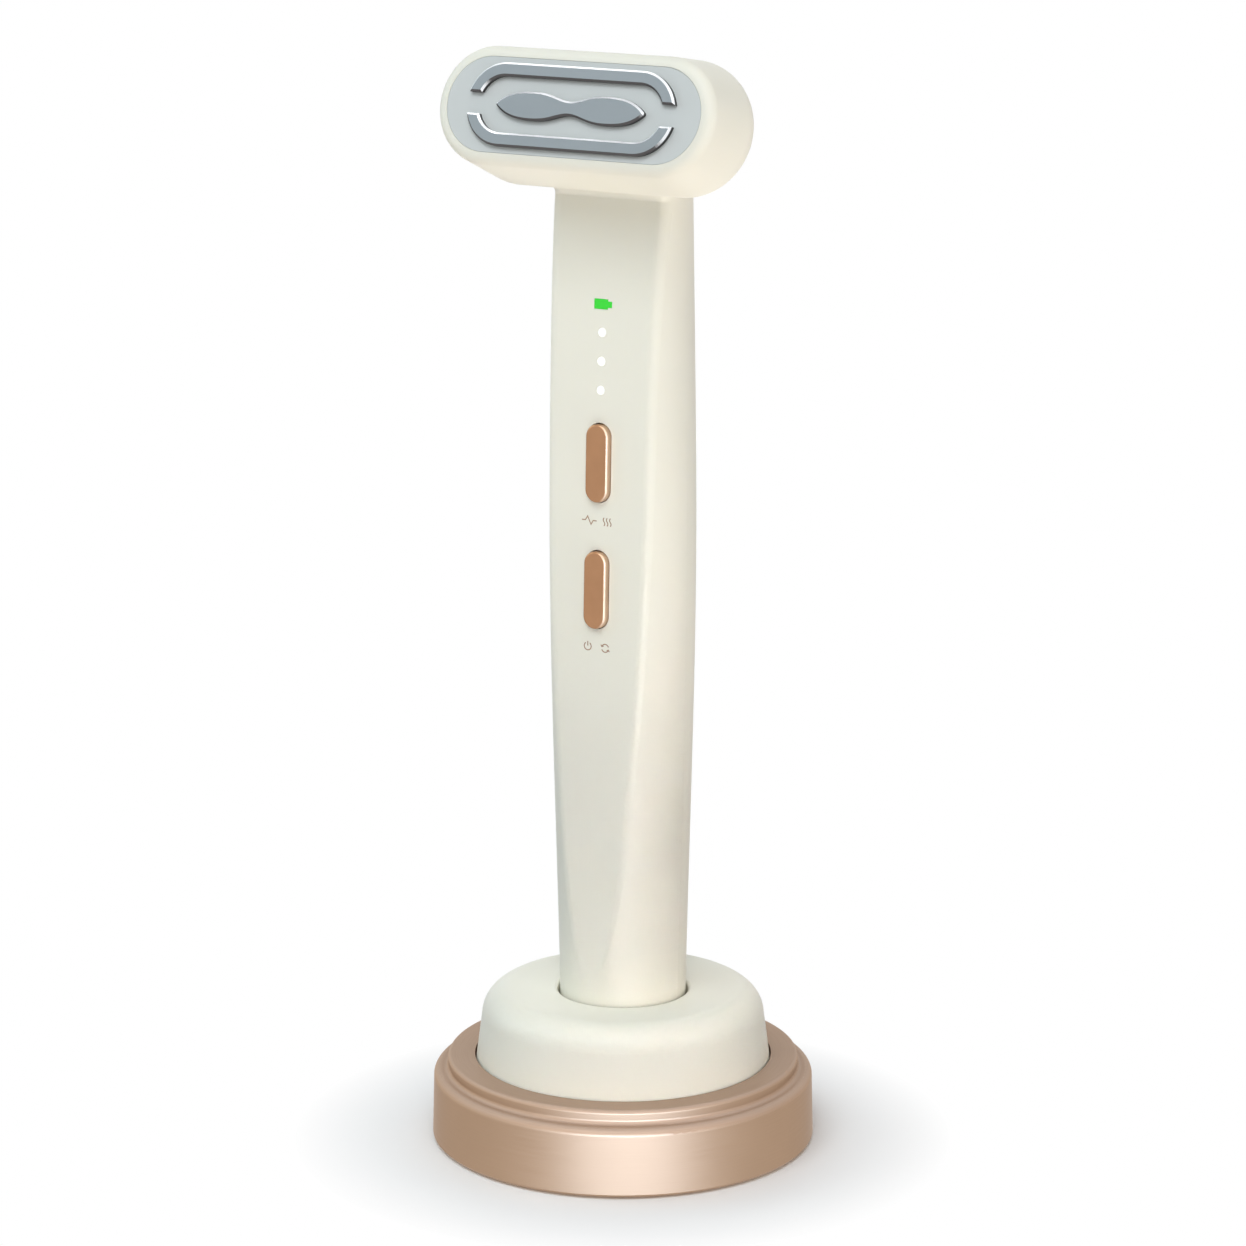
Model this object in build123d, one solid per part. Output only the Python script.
from build123d import *
import os
from math import atan2, cos, degrees, radians, sin, tan

# Cordless light and warmth wand for the face, with a T-shaped head on a slim handle, docked upright in a
# round charging stand. Lengths are in millimetres.
# +Z is up, the treatment face and the buttons look towards -Y, and the origin is on the surface that the
# dock stands on, on the axis of the dock and of the handle.

# Clearances that every fit uses.
FIT_GAP = 0.1          # between two parts of the housing that are pushed together
RUN_GAP = 0.06         # radial clearance of a sliding or turning fit
KEY_GAP = 0.15         # all round a button in its opening
LENS_GAP = 0.05        # all round a light pipe, contact or panel in its opening
THREAD_GAP = 0.05      # all round a screw in its threaded hole
SEAT_GAP = 0.05        # between the docked wand and what it stands on
CUT_OVER = 1.0         # how far a cutting body stands out of what it cuts
SPREAD = 60.0          # half width of a block that only limits heights

# Dock ring, the metal-look skirt and land.
RING_R = 30.1          # outside, at the foot
RING_DRAFT = 1.5       # degrees that the skirt leans inwards
RING_BOTTOM = 0.4
SKIRT_TOP = 11.2       # height of the narrow ledge
SKIRT_ROUND = 1.2
LEDGE_WIDTH = 2.5      # from the foot of the skirt in to the raised land
COVE = 0.7             # hollow between the ledge and the land
LAND_RISE = 2.2        # height of the land above the ledge
LAND_ROUND = 0.6
LAND_THICK = 1.8
LAND_WIDTH = 4.23      # from the land's outside in to the opening for the cup
RING_WALL = 2.8
PLATE_LIP = 1.0        # radial depth of the shoulder that the bottom plate seats in
RING_CHAMFER = 0.4

# Dock cup, the cream body that holds the wand.
CUP_DRAFT = 7.5        # degrees
CUP_RISE = 10.95       # height of its top above the land
CUP_ROUND = 4.4
CUP_DISH = 0.25        # how far the top falls towards the socket
CUP_WALL = 1.8
CUP_GAP = 0.3          # shadow gap between cup and ring
FLANGE_OUT = 2.1       # how far the flange under the land stands out
FLANGE_THICK = 1.7
SOCKET_SLACK = 0.65    # all round the foot of the wand
SOCKET_LIP = 0.5
SOCKET_WALL = 1.6
SOCKET_SEAT = 7.6      # height of the ledge that the wand stands on
SEAT_WIDTH = 1.7
WELL_DEPTH = 0.6       # the pin well in the middle of the socket floor
FLOOR_THICK = 1.6

# Dock underside.
PLATE_BOTTOM = 0.8
PLATE_THICK = 1.6
PLATE_SKIN = 0.5       # left under a blind hole in the bottom plate
FOOT_R = 3.5
FOOT_HEIGHT = 1.2
FOOT_ROUND = 0.4
FOOT_INSET = 8.6       # from the outside of the ring in to the middle of a foot
FOOT_ANGLES = (45, 135, 225, 315)
BOSS_R = 2.4
BOSS_INSET = 5.07      # from the foot of the cup in to the middle of a boss
BOSS_ANGLES = (30, 150, 270)

# Screws.
SCREW_R = 1.0          # shank of every screw in the product
SCREW_HEAD_R = 1.8
SCREW_HEAD = 1.1
SCREW_TIP_GAP = 1.0    # between a screw's tip and the end of its hole
BOARD_SCREW_HEAD_R = 1.55
DRIVER_REACH = 0.9     # half length of the driver recess
DRIVER_HALF = 0.26     # half width of its slots
DRIVER_DEPTH = 0.55
DOCK_SCREW = 8.0       # depth of the holes in the dock's bosses

# Ballast ring.
WEIGHT_WALL_GAP = 0.9  # to the wall of the dock ring
WEIGHT_BOARD_GAP = 1.5
WEIGHT_TONGUE_GAP = 1.4
WEIGHT_ROOM = 1.3      # to the cup's flange above it

# Dock circuit board and its parts.
STANDOFF = 0.5
STANDOFF_R = 2.0
STANDOFF_X = 9.0
DOCK_BOARD_R = 12.5
DOCK_BOARD = 1.0       # thickness
TONGUE_MARGIN = 1.13   # board left on either side of the charging port
TONGUE_GAP = 1.1       # from the tongue's end to the wall of the dock ring
PIN_X = 4.0            # charging pins either side of the axis
BARREL_R = 1.1
BARREL_BORE = 0.86
BARREL_SINK = 0.2      # how far a barrel's top lies below the floor of the pin well
BARREL_LIP = 0.4
PIN_HEAD = 0.9
PIN_TIP_R = 0.55
PIN_TIP_ROUND = 0.33
SPRING_WIRE_R = 0.09
SPRING_TURNS = 2.5

# Charging port at the back.
PORT_WIDTH = 8.94
PORT_HEIGHT = 3.26
PORT_WALL = 0.3
PORT_DEPTH = 7.3
PORT_SINK = 0.8        # how far its mouth lies inside the foot of the ring
PORT_GAP = 0.17
BLADE_WIDTH = 6.69
BLADE_THICK = 0.7
BLADE_LENGTH = 4.45

# Handle: a body of revolution with a flat facet on its front. A rise is measured up from the foot of the
# wand, and a drop down from the joint with the head.
HANDLE_LENGTH = 141.55 # from the foot to the joint
BASE_R = 9.62          # at the foot of the wand
LOW_R, LOW_RISE = 10.21, 32.35
GRIP_R, GRIP_DROP = 11.26, 53.2
UPPER_R, UPPER_DROP = 10.99, 25.2
NECK_R = 10.6          # at the joint with the head
DOME_HEIGHT = 14.0     # rounded end of the neck, inside and behind the head
DOME_FULLNESS = 0.7    # share of the radius at which the dome starts to level off
HANDLE_WALL = 1.6
FLAT_LOW, FLAT_LOW_RISE = 8.98, 40.35    # distance of the facet before the axis, low on its flat run
FLAT_HIGH, FLAT_HIGH_DROP = 6.70, 31.2   # and high on its flat run
FADE_R = 650.0         # gentle curve by which the facet fades out below
SWEEP_R = 310.0        # curve by which it leans back under the head
FACET_REACH = 50.0     # length of each of these two curves
FACET_DEPTH = 30.0     # size of the body that cuts the facet
CREASE = 2.0           # rounding where facet and barrel meet

# Bottom cap.
CAP_HEIGHT = 1.95      # from the foot to the seam between cap and handle
CAP_ROUND = 0.9
PLUG_HEIGHT = 5.6
SEAL_WIRE = 0.6
CAP_SCREW = 10.5
CAP_SCREW_SINK = 0.4
PAD_R = 1.5
PAD_THICK = 0.6
PAD_STEM_R = 0.6

# Buttons, on the facet.
UPPER_BUTTON_DROP = 39.9
BUTTON_PITCH = 19.55
KEY_WIDTH = 3.9
KEY_LENGTH = 12.0
KEY_PROUD = 1.0
KEY_ROUND = 0.35
KEY_FLANGE = 0.9       # how far its hidden flange stands out
KEY_FLANGE_THICK = 0.7
KEY_STEM_R = 1.3
KEY_STEM = 0.4
KEY_TRAVEL = 0.5
SWITCH_SIZE = 4.6
SWITCH_HEIGHT = 1.8
PLUNGER_R = 0.95
PLUNGER_LENGTH = 1.15

# Indicators, on the facet.
BATTERY_SIGN_DROP = 15.8
SIGN_WIDTH = 2.35
SIGN_HEIGHT = 1.5
SIGN_NUB = 0.7
SIGN_NUB_HEIGHT = 0.9
DOT_R = 0.68
DOT_FIRST_DROP = 28.8
DOT_PITCH = 4.38
DOT_COUNT = 3
PIPE_FLANGE = 0.55
PIPE_FLANGE_THICK = 0.6
LED_WIDTH = 1.6
LED_LENGTH = 0.8
LED_HEIGHT = 0.6
PIPE_TO_LED = 0.1

# Chassis, cell and main board inside the handle.
BOARD_DROP = 9.2
BOARD_LENGTH = 66.0
BOARD_WIDTH = 13.0
BOARD_THICK = 1.0
BOARD_CORNER = 1.0
BOARD_SCREW_EDGE = 4.0 # from the board's ends to its screws
RIB = 4.0
RIB_HALF = 5.0
CELL_RIB_HALF = 6.6
SPINE_Y = 5.3
SPINE_THICK = 1.2
SPINE_HALF = 4.5
CELL_R = 5.0
CELL_RIM = 0.5
CELL_NUB_R = 2.5
CELL_GAP = 0.1
CELL_ROOM = 6.0        # between the cell and the board above it
CELL_CLEAR = 1.2       # between the chassis boss and the rib that the cell stands on
TAB_THICK = 0.3
TAB_WIDTH = 4.0
STOP = 1.5             # thickness of the ribs that hold the cell
CHASSIS_BASE = 1.6
CHASSIS_BOSS_R = 2.6
CHASSIS_BOSS = 5.7

# Head: a flared block whose sides are stadiums, tilted up to face the user.
HEAD_TILT = 16.45      # degrees
FACE_Y = -14.65
HEAD_CLEAR = 1.5425    # height of the underside of the head above the joint
FACE_WIDTH, FACE_HEIGHT = 47.35, 17.6
FLARE_SIDE, FLARE_UP = 0.4, 1.4        # how far the girth stands out beyond the face
GIRTH_DEPTH = 10.4
HEAD_DEPTH = 15.7
FACE_ROUND = 1.7
REAR_ROUND = 5.0
NECK_BLEND = 1.5
RIM_SIDE, RIM_UP = 1.955, 1.635        # housing around the panel, beside and above it
PANEL_THICK = 1.5
GASKET = 0.3
LEDGE = 1.4            # width of the ledge that the panel is glued on
REAR_WALL = 2.1
SPIGOT = 6.5
WIRE_WAY_R = 2.2
WIRE_WAY_FOOT = (1.2, -6.2)            # y of its two ends, and their height above the joint
WIRE_WAY_HEAD = (-5.0, 7.8)

# Electrodes on the treatment face.
PLATE_PROUD = 1.0
PLATE_CHAMFER = 0.3
RAIL_SIDE_MARGIN, RAIL_UP_MARGIN = 3.9, 0.895     # panel left free beyond the rails
RAIL_WIDTH = 2.05
RAIL_END = 1.6         # height at which the rails' ends are cut
LENS_TIP = 12.8
LENS_TIP_ROUND = 0.35
LENS_WAIST = 1.06
LENS_SHOULDER = (3.5, 1.86)
LENS_BELLY = (6.8, 2.15)
LENS_FALL = (10.3, 1.63)
POST_R = 0.5
RAIL_POST_X = 9.0
RAIL_POST_INSET = 0.63 # from a rail's inner edge to the middle of its posts
LENS_POST = 6.8

# What lies behind the panel.
HEATER_THICK = 0.2
LIGHT_FRAME_GAP = 0.2
LIGHT_FRAME_WALL = 1.2
LIGHT_CELLS = 5
LED_BOARD_DEPTH = 4.0
LED_BOARD_THICK = 1.0
HEAD_LED_SIZE = 2.0
HEAD_LED_HEIGHT = 0.8
HEAD_LED_PITCH = 6.8
HEAD_LED_ROW = 2.2     # distance of the two rows from the middle
MOTOR_R = 3.0
MOTOR_ROUND = 0.5
MOTOR_DEPTH = 9.7
MOTOR_LEFT, MOTOR_RIGHT = -9.0, 3.0
CRADLE_WALL = 1.0
CRADLE_RIB = 2.0
CRADLE_RIBS = (-7.0, 0.0)
SHAFT_R = 0.5
SHAFT_OUT = 5.6
SHAFT_IN = 3.0
SWING_R = 2.7
SWING_LENGTH = 4.0
SWING_GAP = 1.0
SWING_HUB = 0.45       # metal left above the shaft

# Places worked out from the sizes above: the dock.
STEP_R = RING_R - LEDGE_WIDTH
LAND_TOP = SKIRT_TOP + LAND_RISE
CUP_FOOT_R = STEP_R - LAND_WIDTH - CUP_GAP
CUP_TOP = LAND_TOP + CUP_RISE
SOCKET_R = BASE_R + SOCKET_SLACK
FLANGE_TOP = LAND_TOP - LAND_THICK
FLANGE_BOTTOM = FLANGE_TOP - FLANGE_THICK
PLATE_TOP = PLATE_BOTTOM + PLATE_THICK
FOOT_CIRCLE_R = RING_R - FOOT_INSET
BOSS_CIRCLE_R = CUP_FOOT_R - BOSS_INSET
BOARD_BOTTOM = PLATE_TOP + STANDOFF
BOARD_TOP = BOARD_BOTTOM + DOCK_BOARD
WELL_FLOOR = SOCKET_SEAT - WELL_DEPTH
BARREL_TOP = WELL_FLOOR - BARREL_SINK
PIN_SHOULDER = BARREL_TOP - BARREL_LIP - SEAT_GAP
TONGUE_HALF = PORT_WIDTH / 2 + TONGUE_MARGIN
TONGUE_END = RING_R - RING_WALL - TONGUE_GAP
PORT_Z = BOARD_TOP + PORT_HEIGHT / 2
PORT_MOUTH = RING_R - PORT_SINK

# The handle.
WAND_BASE = SOCKET_SEAT + SEAT_GAP
HANDLE_TOP = WAND_BASE + HANDLE_LENGTH
CAP_SPLIT = WAND_BASE + CAP_HEIGHT
PLUG_TOP = CAP_SPLIT + PLUG_HEIGHT
FLAT_LOW_Z = WAND_BASE + FLAT_LOW_RISE
FLAT_HIGH_Z = HANDLE_TOP - FLAT_HIGH_DROP
FLAT_ANGLE = atan2(FLAT_LOW - FLAT_HIGH, FLAT_HIGH_Z - FLAT_LOW_Z)
UPPER_BUTTON_Z = HANDLE_TOP - UPPER_BUTTON_DROP
LOWER_BUTTON_Z = UPPER_BUTTON_Z - BUTTON_PITCH
BATTERY_SIGN_Z = HANDLE_TOP - BATTERY_SIGN_DROP
BOARD_HIGH_Z = HANDLE_TOP - BOARD_DROP
BOARD_LOW_Z = BOARD_HIGH_Z - BOARD_LENGTH
BOARD_SCREW_Z = (BOARD_LOW_Z + BOARD_SCREW_EDGE, BOARD_HIGH_Z - BOARD_SCREW_EDGE)
CHASSIS_FOOT = PLUG_TOP + FIT_GAP
CELL_LOW_Z = CHASSIS_FOOT + CHASSIS_BOSS + CELL_CLEAR + STOP + TAB_THICK
CELL_HIGH_Z = BOARD_LOW_Z - CELL_ROOM
KEY_REST = HANDLE_WALL + SEAT_GAP
PLUNGER_TOP = KEY_REST + KEY_FLANGE_THICK + KEY_STEM
SWITCH_TOP = PLUNGER_TOP + KEY_TRAVEL + SEAT_GAP
MAIN_BOARD_FRONT = SWITCH_TOP + SWITCH_HEIGHT
MAIN_BOARD_BACK = MAIN_BOARD_FRONT + BOARD_THICK

# The head.
TILT = radians(HEAD_TILT)
GIRTH_WIDTH, GIRTH_HEIGHT = FACE_WIDTH + 2 * FLARE_SIDE, FACE_HEIGHT + 2 * FLARE_UP
FACE_RISE = HEAD_CLEAR + GIRTH_DEPTH * sin(TILT) + GIRTH_HEIGHT / 2 * cos(TILT)
PANEL_WIDTH, PANEL_HEIGHT = FACE_WIDTH - 2 * RIM_SIDE, FACE_HEIGHT - 2 * RIM_UP
RAIL_OUTER_R = PANEL_HEIGHT / 2 - RAIL_UP_MARGIN
RAIL_INNER_R = RAIL_OUTER_R - RAIL_WIDTH
RAIL_STRAIGHT = PANEL_WIDTH - 2 * RAIL_SIDE_MARGIN - 2 * RAIL_OUTER_R
RAIL_POST_Y = RAIL_INNER_R + RAIL_POST_INSET

# Plane of the treatment face, looking out of it, and plane of the flat run of the facet, whose y is the
# distance along the facet from the level of the origin.
FACE = Plane(
    origin=(0, FACE_Y, HANDLE_TOP + FACE_RISE), x_dir=(1, 0, 0), z_dir=(0, -cos(TILT), sin(TILT))
)
FACET_FOOT = FLAT_LOW + FLAT_LOW_Z * tan(FLAT_ANGLE)
FACET = Plane(
    origin=(0, -FACET_FOOT, 0), x_dir=(1, 0, 0), z_dir=(0, -cos(FLAT_ANGLE), sin(FLAT_ANGLE))
)


def disc(radius, low, high, x=0.0, y=0.0):
    """Upright cylinder between two heights."""
    body = Cylinder(radius, high - low, align=(Align.CENTER, Align.CENTER, Align.MIN))
    return Pos(x, y, low) * body


def slab(low, high, half_x=SPREAD, half_y=SPREAD, x=0.0, y=0.0):
    """Upright block between two heights, centred on x and y."""
    body = Box(2 * half_x, 2 * half_y, high - low, align=(Align.CENTER, Align.CENTER, Align.MIN))
    return Pos(x, y, low) * body


def turned(*edges):
    """Solid of revolution about the upright axis, from edges in the XZ plane."""
    return revolve(make_face(list(edges)), Axis.Z)


def turned_outline(points, rounds):
    """Solid of revolution from an (r, z) outline, with some of its corners rounded."""
    face = Plane.XZ * make_face(Polyline(*points, close=True))
    for (r, z), size in rounds:
        face = fillet(face.vertices().sort_by_distance((r, 0, z))[0], size)
    return revolve(face, Axis.Z)


def around(angles, radius):
    """Places on a circle about the upright axis."""
    return [(radius * cos(radians(a)), radius * sin(radians(a))) for a in angles]


def stadium(width, height):
    """Sketch of a slot shape with full round ends."""
    return SlotOverall(width, height)


def on_face(sketch, depth_low, depth_high):
    """Prism behind the treatment face, between two depths; a depth below zero is in front of it."""
    return FACE * (Pos(0, 0, -depth_high) * extrude(sketch, depth_high - depth_low))


def on_facet(sketch, height, depth_low, depth_high):
    """Prism behind the facet's flat run, centred on a height, between two depths."""
    along = height / cos(FLAT_ANGLE)
    return FACET * (Pos(0, along, -depth_high) * extrude(sketch, depth_high - depth_low))


def handle_radius_edge(offset):
    """Outline of the handle's barrel, as a curve in the XZ plane."""
    points = (
        (BASE_R, WAND_BASE), (LOW_R, WAND_BASE + LOW_RISE), (GRIP_R, HANDLE_TOP - GRIP_DROP),
        (UPPER_R, HANDLE_TOP - UPPER_DROP), (NECK_R, HANDLE_TOP),
    )
    return Spline(*[(r - offset, 0, z) for r, z in points])


def barrel(offset):
    """Handle and neck as a body of revolution, taken in by an offset, with a domed end."""
    side = handle_radius_edge(offset)
    radius = NECK_R - offset
    end = HANDLE_TOP + DOME_HEIGHT - offset
    dome = Bezier(
        side @ 1,
        side @ 1 + (side % 1) * DOME_HEIGHT / 2,
        (radius * DOME_FULLNESS, 0, end),
        (0, 0, end),
    )
    axis = Line((0, 0, end), (0, 0, WAND_BASE))
    return turned(side, dome, axis, Line((0, 0, WAND_BASE), side @ 0))


def facet_cutter(offset):
    """What the facet takes off the front of the barrel: a flat run between two large curves."""
    low = (-FLAT_LOW + offset, FLAT_LOW_Z)
    high = (-FLAT_HIGH + offset, FLAT_HIGH_Z)
    up = (sin(FLAT_ANGLE), cos(FLAT_ANGLE))
    down = (-up[0], -up[1])
    fade = JernArc(low, down, FADE_R, -degrees(FACET_REACH / FADE_R))
    sweep = JernArc(high, up, SWEEP_R, -degrees(FACET_REACH / SWEEP_R))
    foot, head = fade @ 1, sweep @ 1
    back = Polyline(head, (-FACET_DEPTH, head.Y), (-FACET_DEPTH, foot.Y), foot)
    profile = Plane.YZ * make_face([fade, Line(low, high), sweep, back])
    return extrude(profile, FACET_DEPTH, both=True)


def stem(offset, low, high):
    """Part of the D-shaped handle between two heights, taken in by an offset from its outside."""
    return (barrel(offset) - facet_cutter(offset)) & slab(low, high)


def rounded_stem():
    """Outside of handle and neck, with the creases between facet and barrel rounded."""
    whole = stem(0, WAND_BASE, HANDLE_TOP + DOME_HEIGHT)
    creases = [
        e for e in whole.edges()
        if (e @ 0.5).Y < 0 and e.geom_type == GeomType.BSPLINE and (e @ 0.5).Z < HANDLE_TOP
    ]
    return fillet(creases, CREASE)


# Dock

def dock_ring():
    """Skirt with a ledge, a cove and a raised land, open below, with the port's opening behind."""
    lean = (SKIRT_TOP - RING_BOTTOM) * sin(radians(RING_DRAFT))
    inner = RING_R - RING_WALL
    land_inner = CUP_FOOT_R + CUP_GAP
    outline = [
        (inner + PLATE_LIP, RING_BOTTOM), (RING_R - RING_CHAMFER, RING_BOTTOM),
        (RING_R, RING_BOTTOM + RING_CHAMFER), (RING_R - lean, SKIRT_TOP),
        (STEP_R, SKIRT_TOP), (STEP_R, LAND_TOP), (land_inner, LAND_TOP),
        (land_inner, FLANGE_TOP), (inner - LAND_THICK, FLANGE_TOP),
        (inner - LAND_THICK, FLANGE_BOTTOM), (inner, FLANGE_BOTTOM - LAND_THICK),
        (inner, PLATE_TOP), (inner + PLATE_LIP, PLATE_TOP),
    ]
    rounds = [
        ((RING_R - lean, SKIRT_TOP), SKIRT_ROUND),
        ((STEP_R, SKIRT_TOP), COVE),
        ((STEP_R, LAND_TOP), LAND_ROUND),
    ]
    opening = stadium(PORT_WIDTH + 2 * PORT_GAP, PORT_HEIGHT + 2 * PORT_GAP)
    return turned_outline(outline, rounds) - port_prism(opening, PORT_MOUTH - PORT_DEPTH, RING_R + CUT_OVER)


def port_prism(sketch, y_low, y_high):
    """Prism through the back of the dock, centred on the charging port."""
    place = Plane(origin=(0, y_low, PORT_Z), x_dir=(1, 0, 0), z_dir=(0, 1, 0))
    return place * extrude(sketch, y_high - y_low)


def dock_cup():
    """Drafted cup with a rounded rim, a flange under the land, the socket and its screw bosses."""
    slope = tan(radians(CUP_DRAFT))
    foot_r = CUP_FOOT_R + (LAND_TOP - FLANGE_TOP) * slope
    top_r = CUP_FOOT_R - (CUP_TOP - LAND_TOP) * slope
    tube = SOCKET_R + SOCKET_WALL
    ceiling = CUP_TOP - CUP_WALL - CUP_DISH
    outline = [
        (CUP_FOOT_R + FLANGE_OUT, FLANGE_BOTTOM), (CUP_FOOT_R + FLANGE_OUT, FLANGE_TOP), (foot_r, FLANGE_TOP),
        (top_r, CUP_TOP), (SOCKET_R, CUP_TOP - CUP_DISH), (SOCKET_R, SOCKET_SEAT),
        (SOCKET_R - SEAT_WIDTH, SOCKET_SEAT), (SOCKET_R - SEAT_WIDTH, WELL_FLOOR), (0, WELL_FLOOR),
        (0, WELL_FLOOR - FLOOR_THICK), (tube, WELL_FLOOR - FLOOR_THICK), (tube, ceiling),
        (top_r - CUP_WALL, ceiling), (foot_r - CUP_WALL, FLANGE_BOTTOM),
    ]
    rounds = [
        ((top_r, CUP_TOP), CUP_ROUND),
        ((SOCKET_R, CUP_TOP - CUP_DISH), SOCKET_LIP),
        ((top_r - CUP_WALL, ceiling), CUP_ROUND - CUP_WALL),
    ]
    cup = turned_outline(outline, rounds)
    for x, y in around(BOSS_ANGLES, BOSS_CIRCLE_R):
        cup += disc(BOSS_R, PLATE_TOP, ceiling + CUP_WALL / 2, x, y)
        cup -= disc(SCREW_R + THREAD_GAP, PLATE_TOP, PLATE_TOP + DOCK_SCREW, x, y)
    for x in (-PIN_X, PIN_X):
        cup -= disc(BARREL_R + FIT_GAP, WELL_FLOOR - FLOOR_THICK, WELL_FLOOR, x)
    return cup


def dock_bottom_plate():
    """Disc that closes the dock, with seats for the feet and screws and standoffs for the board."""
    plate = disc(RING_R - RING_WALL + PLATE_LIP - FIT_GAP, PLATE_BOTTOM, PLATE_TOP)
    for x in (-STANDOFF_X, STANDOFF_X):
        plate += disc(STANDOFF_R, PLATE_TOP, BOARD_BOTTOM, x)
        plate -= disc(SCREW_R + THREAD_GAP, PLATE_BOTTOM + PLATE_SKIN, BOARD_BOTTOM, x)
    for x, y in around(FOOT_ANGLES, FOOT_CIRCLE_R):
        plate -= disc(FOOT_R + FIT_GAP, PLATE_BOTTOM, FOOT_HEIGHT, x, y)
    for x, y in around(BOSS_ANGLES, BOSS_CIRCLE_R):
        plate -= disc(SCREW_R + FIT_GAP, PLATE_BOTTOM, PLATE_TOP, x, y)
        plate -= disc(SCREW_HEAD_R + FIT_GAP, PLATE_BOTTOM, PLATE_BOTTOM + SCREW_HEAD, x, y)
    return plate


def rubber_feet():
    """Four pads under the dock."""
    pads = Part()
    for x, y in around(FOOT_ANGLES, FOOT_CIRCLE_R):
        pad = disc(FOOT_R, 0, FOOT_HEIGHT, x, y)
        pads += fillet(pad.edges().sort_by(Axis.Z)[0], FOOT_ROUND)
    return pads


def screw(x, y, head_low, shank):
    """Screw that goes in upwards, with a round head and a driver recess."""
    head = disc(SCREW_HEAD_R, head_low, head_low + SCREW_HEAD, x, y)
    recess = slab(head_low, head_low + DRIVER_DEPTH, DRIVER_REACH, DRIVER_HALF, x, y)
    cross = slab(head_low, head_low + DRIVER_DEPTH, DRIVER_HALF, DRIVER_REACH, x, y)
    return head + disc(SCREW_R, head_low, head_low + SCREW_HEAD + shank, x, y) - recess - cross


def dock_screws():
    """Three screws that pull the bottom plate up against the cup's bosses."""
    screws = Part()
    shank = PLATE_THICK - SCREW_HEAD + DOCK_SCREW - SCREW_TIP_GAP
    for x, y in around(BOSS_ANGLES, BOSS_CIRCLE_R):
        screws += screw(x, y, PLATE_BOTTOM, shank)
    return screws


def dock_weight():
    """Steel ballast ring on the bottom plate, open behind for the charging port."""
    top = FLANGE_BOTTOM - WEIGHT_ROOM
    slot = TONGUE_HALF + WEIGHT_TONGUE_GAP
    ring = disc(RING_R - RING_WALL - WEIGHT_WALL_GAP, PLATE_TOP, top)
    ring -= disc(DOCK_BOARD_R + WEIGHT_BOARD_GAP, PLATE_TOP, top)
    ring -= slab(PLATE_TOP, top, slot, RING_R / 2, 0, RING_R / 2)
    for x, y in around(BOSS_ANGLES, BOSS_CIRCLE_R):
        ring -= disc(BOSS_R + CUP_GAP, PLATE_TOP, top, x, y)
    return ring


def dock_board():
    """Round circuit board with a tongue that carries the charging port."""
    board = disc(DOCK_BOARD_R, BOARD_BOTTOM, BOARD_TOP)
    board += slab(BOARD_BOTTOM, BOARD_TOP, TONGUE_HALF, TONGUE_END / 2, 0, TONGUE_END / 2)
    for x in (-STANDOFF_X, STANDOFF_X):
        board -= disc(SCREW_R + FIT_GAP, BOARD_BOTTOM, BOARD_TOP, x)
    return board


def dock_board_screws():
    """Two short screws that hold the board on its standoffs."""
    screws = Part()
    for x in (-STANDOFF_X, STANDOFF_X):
        shank = disc(SCREW_R, PLATE_BOTTOM + 2 * PLATE_SKIN, BOARD_TOP, x)
        head = disc(BOARD_SCREW_HEAD_R, BOARD_TOP, BOARD_TOP + SCREW_HEAD, x)
        screws += shank + head
    return screws


def charging_port_shell():
    """Metal shell of the charging socket, closed at its inner end."""
    back = PORT_MOUTH - PORT_DEPTH
    outer = port_prism(stadium(PORT_WIDTH, PORT_HEIGHT), back, PORT_MOUTH)
    inner = stadium(PORT_WIDTH - 2 * PORT_WALL, PORT_HEIGHT - 2 * PORT_WALL)
    return outer - port_prism(inner, back + PORT_WALL, PORT_MOUTH)


def charging_port_tongue():
    """Contact blade in the socket, on the moulding that closes its back."""
    back = PORT_MOUTH - PORT_DEPTH + PORT_WALL
    width = PORT_WIDTH - 2 * PORT_WALL - 2 * LENS_GAP
    block = stadium(width, PORT_HEIGHT - 2 * PORT_WALL - 2 * LENS_GAP)
    blade = Rectangle(BLADE_WIDTH, BLADE_THICK)
    root = PORT_MOUTH - BLADE_LENGTH - 2 * PORT_WALL
    return port_prism(block, back, root) + port_prism(blade, root, root + BLADE_LENGTH)


def pogo_barrels():
    """Two barrels on the board, each with a lip that holds its charging pin in."""
    barrels = Part()
    for x in (-PIN_X, PIN_X):
        barrel_body = disc(BARREL_R, BOARD_TOP, BARREL_TOP, x)
        barrel_body -= disc(BARREL_BORE, BOARD_TOP + BARREL_LIP / 2, BARREL_TOP - BARREL_LIP, x)
        barrel_body -= disc(PIN_TIP_R + RUN_GAP, BARREL_TOP - BARREL_LIP, BARREL_TOP, x)
        barrels += barrel_body
    return barrels


def pogo_pin(x):
    """Charging pin: a head that runs in the barrel and a rounded tip in the socket's pin well."""
    tip = disc(PIN_TIP_R, PIN_SHOULDER, SOCKET_SEAT, x)
    tip = fillet(tip.edges().sort_by(Axis.Z)[-1], PIN_TIP_ROUND)
    return disc(BARREL_BORE - RUN_GAP, PIN_SHOULDER - PIN_HEAD, PIN_SHOULDER, x) + tip


def pogo_spring(x):
    """Coil spring under a charging pin."""
    low = BOARD_TOP + BARREL_LIP / 2 + SPRING_WIRE_R
    high = PIN_SHOULDER - PIN_HEAD - SPRING_WIRE_R
    radius = BARREL_BORE - RUN_GAP - 2 * SPRING_WIRE_R
    pitch = (high - low) / SPRING_TURNS
    path = Helix(pitch, high - low, radius)
    wire = Plane(origin=path @ 0, z_dir=path % 0) * Circle(SPRING_WIRE_R)
    return Pos(x, 0, low) * sweep(wire, path=path)


# Wand: handle

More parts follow.
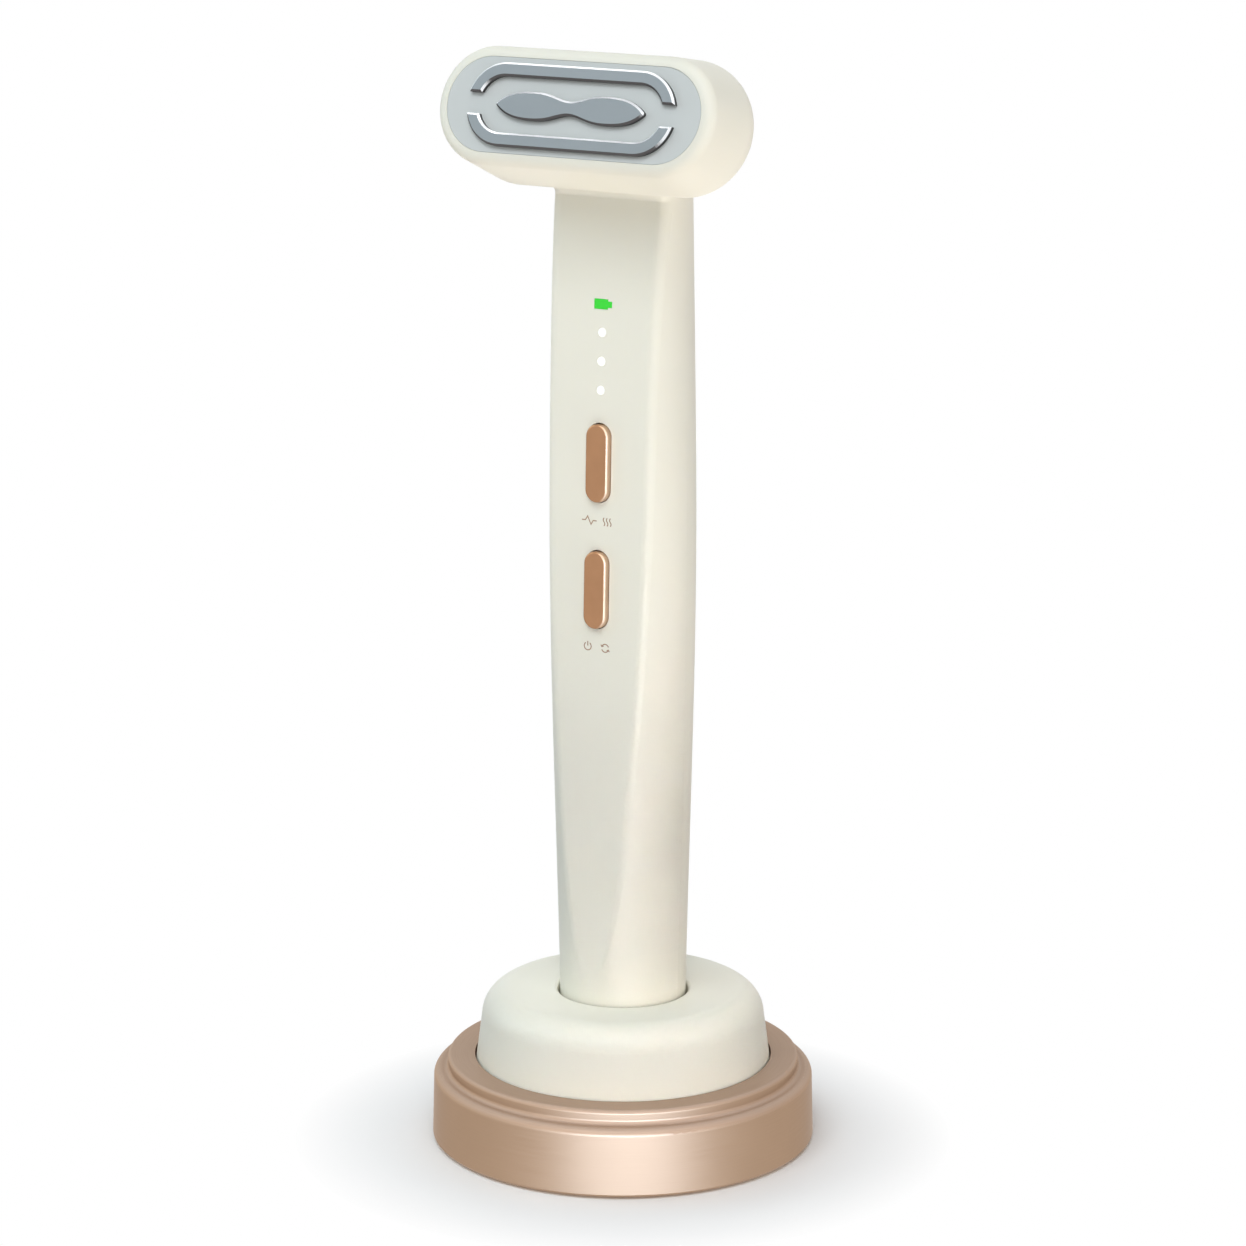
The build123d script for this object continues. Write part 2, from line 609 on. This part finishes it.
def handle_housing(outside):
    """One-piece D-shaped sleeve with openings for the buttons and the indicators."""
    shell = (outside & slab(CAP_SPLIT, HANDLE_TOP)) - stem(HANDLE_WALL, CAP_SPLIT, HANDLE_TOP)
    through = 2 * HANDLE_WALL
    for z in (UPPER_BUTTON_Z, LOWER_BUTTON_Z):
        shell -= on_facet(button_outline(KEY_GAP), z, -HANDLE_WALL, through)
    shell -= on_facet(battery_sign_outline(LENS_GAP), BATTERY_SIGN_Z, -HANDLE_WALL, through)
    for z in dot_heights():
        shell -= on_facet(Circle(DOT_R + LENS_GAP), z, -HANDLE_WALL, through)
    return shell


def button_outline(gap):
    """Upright oblong of a button, or of its opening."""
    return Rot(0, 0, 90) * SlotOverall(KEY_LENGTH + 2 * gap, KEY_WIDTH + 2 * gap)


def dot_heights():
    """Heights of the level dots, from the lowest."""
    return [HANDLE_TOP - DOT_FIRST_DROP + i * DOT_PITCH for i in range(DOT_COUNT)]


def battery_sign_outline(gap):
    """Lying battery: a block with a shorter nub on its right."""
    left = -(SIGN_WIDTH + SIGN_NUB) / 2
    block = Pos(left + SIGN_WIDTH / 2, 0) * Rectangle(SIGN_WIDTH + 2 * gap, SIGN_HEIGHT + 2 * gap)
    nub = Pos(left + SIGN_WIDTH + SIGN_NUB / 2, 0) * Rectangle(
        SIGN_NUB + 2 * gap, SIGN_NUB_HEIGHT + 2 * gap
    )
    return block + nub


def light_pipe(outline, flange, z, outside, inside):
    """Clear pin flush with the facet, held by a flange against the inner wall."""
    led_top = MAIN_BOARD_FRONT - LED_HEIGHT - PIPE_TO_LED
    pin = on_facet(outline, z, -HANDLE_WALL, led_top) & outside
    seat = HANDLE_WALL + 2 * PIPE_FLANGE_THICK
    return pin + (on_facet(flange, z, 0, seat) & inside)


def battery_indicator(outside, inside):
    """Light pipe of the battery sign."""
    flange = Rectangle(
        SIGN_WIDTH + SIGN_NUB + 2 * PIPE_FLANGE, SIGN_HEIGHT + 2 * PIPE_FLANGE
    )
    return light_pipe(battery_sign_outline(0), flange, BATTERY_SIGN_Z, outside, inside)


def dot_light_pipes(outside, inside):
    """Light pipes of the level dots."""
    pipes = Part()
    for z in dot_heights():
        pipes += light_pipe(Circle(DOT_R), Circle(DOT_R + PIPE_FLANGE), z, outside, inside)
    return pipes


def indicator_leds():
    """Small light emitters on the main board, one under each light pipe."""
    leds = Part()
    for z in dot_heights() + [BATTERY_SIGN_Z]:
        body = Rectangle(LED_WIDTH, LED_LENGTH)
        leds += on_facet(body, z, MAIN_BOARD_FRONT - LED_HEIGHT, MAIN_BOARD_FRONT)
    return leds


def button(z):
    """Key with rounded edges, a flange that keeps it in, and a stem that presses its switch."""
    cap = on_facet(button_outline(0), z, -KEY_PROUD, KEY_REST)
    top = cap.faces().sort_by(Axis(FACET.origin, FACET.z_dir))[-1]
    cap = fillet(top.edges(), KEY_ROUND)
    flange = on_facet(button_outline(KEY_FLANGE), z, KEY_REST, KEY_REST + KEY_FLANGE_THICK)
    stem_pin = on_facet(Circle(KEY_STEM_R), z, KEY_REST + KEY_FLANGE_THICK, PLUNGER_TOP)
    return cap + flange + stem_pin


def switch_plunger(z):
    """Plunger of a button's switch."""
    return on_facet(Circle(PLUNGER_R), z, PLUNGER_TOP, PLUNGER_TOP + PLUNGER_LENGTH)


def switch_bases():
    """Bodies of the two push switches, with the bores that their plungers run in."""
    bases = Part()
    bore = PLUNGER_TOP + PLUNGER_LENGTH + KEY_TRAVEL + FIT_GAP
    for z in (UPPER_BUTTON_Z, LOWER_BUTTON_Z):
        base = on_facet(Rectangle(SWITCH_SIZE, SWITCH_SIZE), z, SWITCH_TOP, MAIN_BOARD_FRONT)
        bases += base - on_facet(Circle(PLUNGER_R + RUN_GAP), z, SWITCH_TOP, bore)
    return bases


def main_board():
    """Circuit board along the handle, behind the buttons and indicators."""
    middle = (BOARD_LOW_Z + BOARD_HIGH_Z) / 2
    outline = RectangleRounded(BOARD_WIDTH, BOARD_LENGTH, BOARD_CORNER)
    board = on_facet(outline, middle, MAIN_BOARD_FRONT, MAIN_BOARD_BACK)
    for z in BOARD_SCREW_Z:
        board -= on_facet(Circle(SCREW_R + FIT_GAP), z, MAIN_BOARD_FRONT, MAIN_BOARD_BACK)
    return board


def board_screws():
    """Two screws that hold the main board on the chassis."""
    screws = Part()
    for z in BOARD_SCREW_Z:
        head = on_facet(Circle(SCREW_HEAD_R), z, MAIN_BOARD_FRONT - SCREW_HEAD, MAIN_BOARD_FRONT)
        shank = on_facet(Circle(SCREW_R), z, MAIN_BOARD_FRONT, MAIN_BOARD_BACK + RIB - SCREW_TIP_GAP)
        screws += head + shank
    return screws


def chassis():
    """Spine with ribs that hold the cell and the main board, on a base screwed to the bottom cap."""
    boss_top = CHASSIS_FOOT + CHASSIS_BOSS
    top = BOARD_SCREW_Z[-1] + RIB / 2
    room = stem(HANDLE_WALL + CUP_GAP, CHASSIS_FOOT, top)
    frame = room & slab(CHASSIS_FOOT, top, SPINE_HALF, SPINE_THICK / 2, 0, SPINE_Y + SPINE_THICK / 2)
    frame += room & slab(CHASSIS_FOOT, CHASSIS_FOOT + CHASSIS_BASE)
    frame += disc(CHASSIS_BOSS_R, CHASSIS_FOOT, boss_top)
    cell_low = CELL_LOW_Z - TAB_THICK
    cell_high = CELL_HIGH_Z + TAB_THICK
    cell_middle = (cell_low + cell_high) / 2
    for low in (cell_low - STOP, cell_middle, cell_high):
        frame += room & slab(low, low + STOP, CELL_RIB_HALF)
    frame -= disc(CELL_R + CELL_GAP, cell_low, cell_high)
    for z in BOARD_SCREW_Z:
        rib = room & slab(z - RIB / 2, z + RIB / 2, RIB_HALF)
        rib -= on_facet(Rectangle(BOARD_WIDTH * 2, RIB * 2), z, -HANDLE_WALL, MAIN_BOARD_BACK)
        rib -= on_facet(Circle(SCREW_R + THREAD_GAP), z, MAIN_BOARD_BACK, MAIN_BOARD_BACK + RIB)
        frame += rib
    return frame - disc(SCREW_R + THREAD_GAP, CHASSIS_FOOT, boss_top)


def battery_cell():
    """Round rechargeable cell with its button end up."""
    cell = disc(CELL_R, CELL_LOW_Z, CELL_HIGH_Z - CELL_RIM)
    cell = fillet(cell.edges().filter_by(GeomType.CIRCLE), CELL_RIM)
    return cell + disc(CELL_NUB_R, CELL_HIGH_Z - CELL_RIM, CELL_HIGH_Z)


def battery_tabs():
    """Nickel tabs at the cell's two ends."""
    low = slab(CELL_LOW_Z - TAB_THICK, CELL_LOW_Z, TAB_WIDTH / 2, TAB_WIDTH / 2)
    return low + slab(CELL_HIGH_Z, CELL_HIGH_Z + TAB_THICK, TAB_WIDTH / 2, TAB_WIDTH / 2)


def bottom_cap():
    """Foot of the wand: a rounded disc and a plug with a seal groove, a screw and two contacts."""
    foot = barrel(0) & slab(WAND_BASE, CAP_SPLIT)
    foot = fillet(foot.edges().sort_by(Axis.Z)[0], CAP_ROUND)
    cap = foot + stem(HANDLE_WALL + FIT_GAP, CAP_SPLIT, PLUG_TOP)
    cap -= seal_ring(SEAL_WIRE + LENS_GAP)
    cap -= disc(SCREW_R + FIT_GAP, WAND_BASE, PLUG_TOP)
    cap -= disc(SCREW_HEAD_R + FIT_GAP, WAND_BASE, WAND_BASE + CAP_SCREW_SINK + SCREW_HEAD)
    for x in (-PIN_X, PIN_X):
        cap -= disc(PAD_R + LENS_GAP, WAND_BASE, WAND_BASE + PAD_THICK, x)
        cap -= disc(PAD_STEM_R + LENS_GAP, WAND_BASE, PLUG_TOP, x)
    return cap


def seal_ring(wire):
    """Round seal in the plug's groove."""
    line = BASE_R - HANDLE_WALL - LENS_GAP - SEAL_WIRE
    return Pos(0, 0, CAP_SPLIT + PLUG_HEIGHT / 2) * Torus(line, wire)


def cap_screw():
    """Screw that holds the bottom cap to the chassis."""
    return screw(0, 0, WAND_BASE + CAP_SCREW_SINK, CAP_SCREW)


def contact_pads():
    """Two flush contacts that meet the dock's charging pins."""
    pads = Part()
    for x in (-PIN_X, PIN_X):
        pad = disc(PAD_R, WAND_BASE, WAND_BASE + PAD_THICK, x)
        pads += pad + disc(PAD_STEM_R, WAND_BASE, PLUG_TOP, x)
    return pads


# Wand: head

def head_block():
    """Outside of the head: a flare between two stadiums and a rounded back."""
    front = stadium(FACE_WIDTH, FACE_HEIGHT)
    girth = Pos(0, 0, -GIRTH_DEPTH) * stadium(GIRTH_WIDTH, GIRTH_HEIGHT)
    block = loft([Sketch() + front, Sketch() + girth])
    block += extrude(girth, -(HEAD_DEPTH - GIRTH_DEPTH))
    block = fillet(block.edges().group_by(Axis.Z)[0], REAR_ROUND)
    block = fillet(block.edges().group_by(Axis.Z)[-1], FACE_ROUND)
    return FACE * block


def wire_way():
    """Slanted passage for the wires from the handle into the head."""
    foot = Vector(0, *WIRE_WAY_FOOT) + Vector(0, 0, HANDLE_TOP)
    head = Vector(0, *WIRE_WAY_HEAD) + Vector(0, 0, HANDLE_TOP)
    run = head - foot
    body = Cylinder(WIRE_WAY_R, run.length, align=(Align.CENTER, Align.CENTER, Align.MIN))
    return Plane(origin=foot, z_dir=run) * body


def head_cavity():
    """Room behind the panel: the panel's recess and the pocket that its ledge surrounds."""
    recess = stadium(PANEL_WIDTH + 2 * LENS_GAP, PANEL_HEIGHT + 2 * LENS_GAP)
    pocket = stadium(PANEL_WIDTH - 2 * LEDGE, PANEL_HEIGHT - 2 * LEDGE)
    seat = on_face(recess, -CUT_OVER, PANEL_THICK + GASKET)
    return seat + on_face(pocket, -CUT_OVER, HEAD_DEPTH - REAR_WALL)


def head_housing(outside):
    """Head shell with the neck behind it and the spigot that goes down into the handle."""
    neck = outside & slab(HANDLE_TOP, HANDLE_TOP + DOME_HEIGHT)
    block = head_block()
    body = block + neck
    body = fillet(new_edges(block, neck, combined=body), NECK_BLEND)
    body += stem(HANDLE_WALL + FIT_GAP, HANDLE_TOP - SPIGOT, HANDLE_TOP)
    return body - head_cavity() - wire_way()


def posts():
    """Places of the electrode posts on the treatment face: upper rail, lower rail and centre plate."""
    x, y = RAIL_POST_X, RAIL_POST_Y
    return [(-x, y), (x, y), (-x, -y), (x, -y), (-LENS_POST, 0), (LENS_POST, 0)]


def post_holes(radius):
    """Sketch of the holes that the electrode posts pass through."""
    holes = Sketch()
    for x, y in posts():
        holes += Pos(x, y) * Circle(radius)
    return holes


def head_window():
    """Translucent panel, flush in the head, with holes for the electrode posts."""
    panel = stadium(PANEL_WIDTH, PANEL_HEIGHT) - post_holes(POST_R + LENS_GAP)
    return on_face(panel, 0, PANEL_THICK)


def window_gasket():
    """Soft ring between the panel and its ledge."""
    outer = stadium(PANEL_WIDTH - 2 * LENS_GAP, PANEL_HEIGHT - 2 * LENS_GAP)
    inner = stadium(PANEL_WIDTH - 2 * LEDGE, PANEL_HEIGHT - 2 * LEDGE)
    return on_face(outer - inner, PANEL_THICK, PANEL_THICK + GASKET)


def rail_outline():
    """Upper rail: half of a stadium-shaped band, with its ends cut level."""
    outer = SlotCenterToCenter(RAIL_STRAIGHT, 2 * RAIL_OUTER_R)
    inner = SlotCenterToCenter(RAIL_STRAIGHT, 2 * RAIL_INNER_R)
    keep = Pos(0, RAIL_END + RAIL_OUTER_R) * Rectangle(2 * FACE_WIDTH, 2 * RAIL_OUTER_R)
    return (outer - inner) & keep


def lens_outline():
    """Centre plate: two lens shapes joined at a narrow waist, with blunted points."""
    knots = [(0, LENS_WAIST), LENS_SHOULDER, LENS_BELLY, LENS_FALL, (LENS_TIP, 0)]
    upper = Spline(*[(-x, y) for x, y in reversed(knots)], *knots[1:])
    face = make_face([upper, mirror(upper, Plane.XZ)])
    return fillet(face.vertices(), LENS_TIP_ROUND)


def electrode(outline, places):
    """Raised metal plate with a chamfered edge and posts through the panel to the board."""
    plate = extrude(outline, PLATE_PROUD)
    plate = chamfer(plate.edges().group_by(Axis.Z)[-1], PLATE_CHAMFER)
    for x, y in places:
        plate += Pos(x, y, -LED_BOARD_DEPTH) * extrude(Circle(POST_R), LED_BOARD_DEPTH)
    return FACE * plate


def electrode_upper():
    """Rail along the top of the treatment face."""
    return electrode(rail_outline(), posts()[:2])


def electrode_lower():
    """Rail along the bottom, the upper one's mirror image."""
    return electrode(mirror(rail_outline(), Plane.XZ), posts()[2:4])


def electrode_centre():
    """Waisted plate in the middle."""
    return electrode(lens_outline(), posts()[4:])


def board_outline(gap):
    """Stadium of the parts that fill the head's pocket, with a gap all round."""
    trim = 2 * LEDGE + 2 * gap
    return stadium(PANEL_WIDTH - trim, PANEL_HEIGHT - trim)


def heater_film():
    """Thin heating film on the back of the panel, open in the middle for the light."""
    film = board_outline(LIGHT_FRAME_GAP) - board_outline(LIGHT_FRAME_GAP + 2 * LIGHT_FRAME_WALL)
    film -= post_holes(POST_R + LENS_GAP)
    return on_face(film, PANEL_THICK, PANEL_THICK + HEATER_THICK)


def light_frame():
    """White frame between film and board, with bars that part the emitters."""
    outer = board_outline(LIGHT_FRAME_GAP)
    frame = outer - board_outline(LIGHT_FRAME_GAP + LIGHT_FRAME_WALL)
    for i in range(LIGHT_CELLS + 1):
        x = (i - LIGHT_CELLS / 2) * HEAD_LED_PITCH
        frame += outer & (Pos(x, 0) * Rectangle(LIGHT_FRAME_WALL / 2, PANEL_HEIGHT))
    frame -= post_holes(POST_R + LENS_GAP)
    return on_face(frame, PANEL_THICK + HEATER_THICK, LED_BOARD_DEPTH)


def led_board():
    """Board behind the panel, for the emitters and the electrode posts."""
    outline = board_outline(LIGHT_FRAME_GAP)
    return on_face(outline, LED_BOARD_DEPTH, LED_BOARD_DEPTH + LED_BOARD_THICK)


def treatment_leds():
    """Light emitters, two in each cell of the frame."""
    leds = Part()
    for i in range(LIGHT_CELLS):
        x = (i - (LIGHT_CELLS - 1) / 2) * HEAD_LED_PITCH
        for y in (-HEAD_LED_ROW, HEAD_LED_ROW):
            body = Pos(x, y) * Rectangle(HEAD_LED_SIZE, HEAD_LED_SIZE)
            leds += on_face(body, LED_BOARD_DEPTH - HEAD_LED_HEIGHT, LED_BOARD_DEPTH)
    return leds


def along_motor(radius, x_low, x_high):
    """Cylinder on the vibration motor's axis."""
    centre = FACE.from_local_coords((0, 0, -MOTOR_DEPTH))
    place = Plane(origin=(x_low, centre.Y, centre.Z), z_dir=(1, 0, 0))
    body = Cylinder(radius, x_high - x_low, align=(Align.CENTER, Align.CENTER, Align.MIN))
    return place * body


def motor_cradle():
    """Frame behind the board, with ribs that hold the vibration motor."""
    low = LED_BOARD_DEPTH + LED_BOARD_THICK
    high = HEAD_DEPTH - REAR_WALL - LENS_GAP
    outer = board_outline(LIGHT_FRAME_GAP)
    frame = on_face(outer - board_outline(LIGHT_FRAME_GAP + CRADLE_WALL), low, high)
    for x in CRADLE_RIBS:
        rib = outer & (Pos(x, 0) * Rectangle(CRADLE_RIB, PANEL_HEIGHT))
        frame += on_face(rib, low, high)
    frame -= along_motor(MOTOR_R + LENS_GAP, MOTOR_LEFT - CUT_OVER, MOTOR_RIGHT + CUT_OVER)
    return frame - wire_way()


def motor_can():
    """Round can of the vibration motor, with the bore that its shaft turns in."""
    can = along_motor(MOTOR_R, MOTOR_LEFT, MOTOR_RIGHT)
    can = fillet(can.edges().filter_by(GeomType.CIRCLE), MOTOR_ROUND)
    return can - along_motor(SHAFT_R + RUN_GAP, MOTOR_RIGHT - SHAFT_IN - 2 * RUN_GAP, MOTOR_RIGHT)


def motor_shaft():
    """Shaft of the vibration motor."""
    return along_motor(SHAFT_R, MOTOR_RIGHT - SHAFT_IN, MOTOR_RIGHT + SHAFT_OUT)


def swing_weight():
    """Off-centre weight on the shaft, hanging down at rest."""
    start = MOTOR_RIGHT + SWING_GAP
    weight = along_motor(SWING_R, start, start + SWING_LENGTH)
    centre = FACE.from_local_coords((0, 0, -MOTOR_DEPTH))
    weight -= slab(centre.Z + SHAFT_R + SWING_HUB, centre.Z + 2 * SWING_R)
    return weight - along_motor(SHAFT_R, start, start + SWING_LENGTH)


def build():
    """Every node of the assembly, by name."""
    outside = rounded_stem()
    inside = stem(HANDLE_WALL, CAP_SPLIT, HANDLE_TOP)
    return {
        "dock_ring": dock_ring(),
        "dock_cup": dock_cup(),
        "dock_bottom_plate": dock_bottom_plate(),
        "rubber_feet": rubber_feet(),
        "dock_screws": dock_screws(),
        "dock_weight": dock_weight(),
        "dock_board": dock_board(),
        "dock_board_screws": dock_board_screws(),
        "charging_port_shell": charging_port_shell(),
        "charging_port_tongue": charging_port_tongue(),
        "pogo_barrels": pogo_barrels(),
        "pogo_pin_left": pogo_pin(-PIN_X),
        "pogo_pin_right": pogo_pin(PIN_X),
        "pogo_spring_left": pogo_spring(-PIN_X),
        "pogo_spring_right": pogo_spring(PIN_X),
        "handle_housing": handle_housing(outside),
        "battery_indicator": battery_indicator(outside, inside),
        "dot_light_pipes": dot_light_pipes(outside, inside),
        "indicator_leds": indicator_leds(),
        "button_upper": button(UPPER_BUTTON_Z),
        "button_lower": button(LOWER_BUTTON_Z),
        "switch_plunger_upper": switch_plunger(UPPER_BUTTON_Z),
        "switch_plunger_lower": switch_plunger(LOWER_BUTTON_Z),
        "switch_bases": switch_bases(),
        "main_board": main_board(),
        "board_screws": board_screws(),
        "chassis": chassis(),
        "battery_cell": battery_cell(),
        "battery_tabs": battery_tabs(),
        "bottom_cap": bottom_cap(),
        "cap_seal": seal_ring(SEAL_WIRE),
        "cap_screw": cap_screw(),
        "contact_pads": contact_pads(),
        "head_housing": head_housing(outside),
        "head_window": head_window(),
        "window_gasket": window_gasket(),
        "electrode_upper": electrode_upper(),
        "electrode_lower": electrode_lower(),
        "electrode_centre": electrode_centre(),
        "heater_film": heater_film(),
        "light_frame": light_frame(),
        "led_board": led_board(),
        "treatment_leds": treatment_leds(),
        "motor_cradle": motor_cradle(),
        "motor_can": motor_can(),
        "motor_shaft": motor_shaft(),
        "swing_weight": swing_weight(),
    }


def main():
    """Write one STEP file per node."""
    os.makedirs("parts", exist_ok=True)
    for name, solid in build().items():
        export_step(solid, os.path.join("parts", name + ".step"))


if __name__ == "__main__":
    main()
